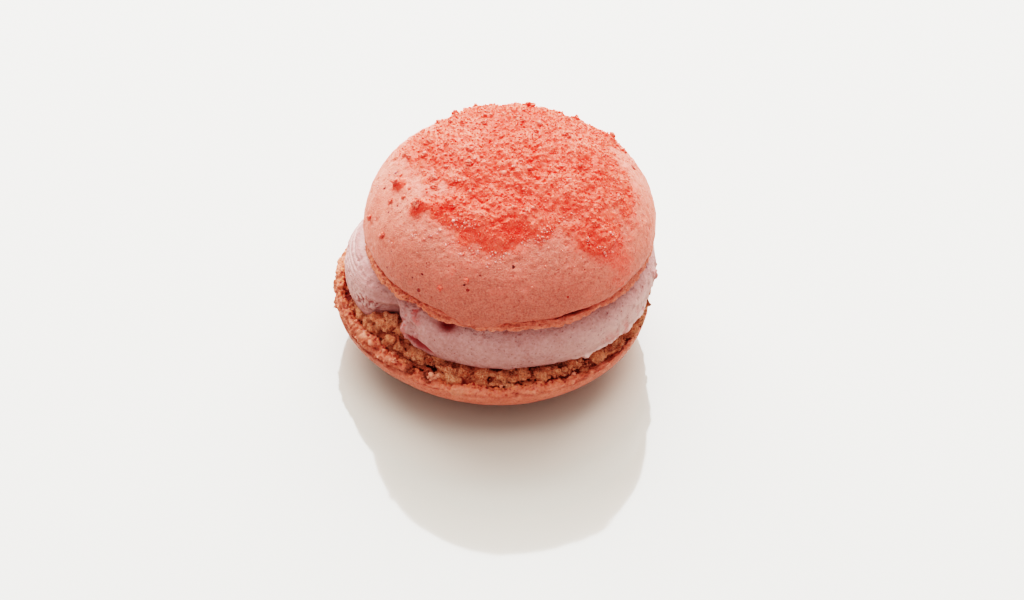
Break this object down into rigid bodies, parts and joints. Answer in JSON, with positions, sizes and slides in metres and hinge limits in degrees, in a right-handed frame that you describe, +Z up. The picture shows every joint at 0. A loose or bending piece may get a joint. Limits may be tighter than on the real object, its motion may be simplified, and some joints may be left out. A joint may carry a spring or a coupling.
{
  "type": "french macaron",
  "caption": "Round sandwich biscuit: two domed meringue shells around piped cream and a layer of baked crumb, dusted with coarse tinted sugar, standing on its bottom shell.",
  "frame": {"origin": "middle of the small flat spot under the bottom shell that the macaron stands on", "axes": "+Z up through the top shell; -Y is the front, the side that shows the cleft in the cream at its left; +X is the right"},
  "size_m": [0.0781, 0.0746, 0.057],
  "materials": {
    "shell": "matt baked meringue, salmon pink with fine pores and dark flecks, a ruffled porous foot",
    "baked_crumb": "matt golden brown biscuit crumb in lumps of two to three millimetres",
    "cream": "soft satin whipped cream, pale mauve pink with fine red fruit flecks",
    "sugar_dusting": "bright coral sugar crumb with pale sparkling grains, dusted over the top shell"
  },
  "bodies": {
    "root": {"bottom_shell": "shell", "crumb_layer": "baked_crumb", "cream_filling": "cream", "top_shell": "shell"}
  },
  "joints": []
}
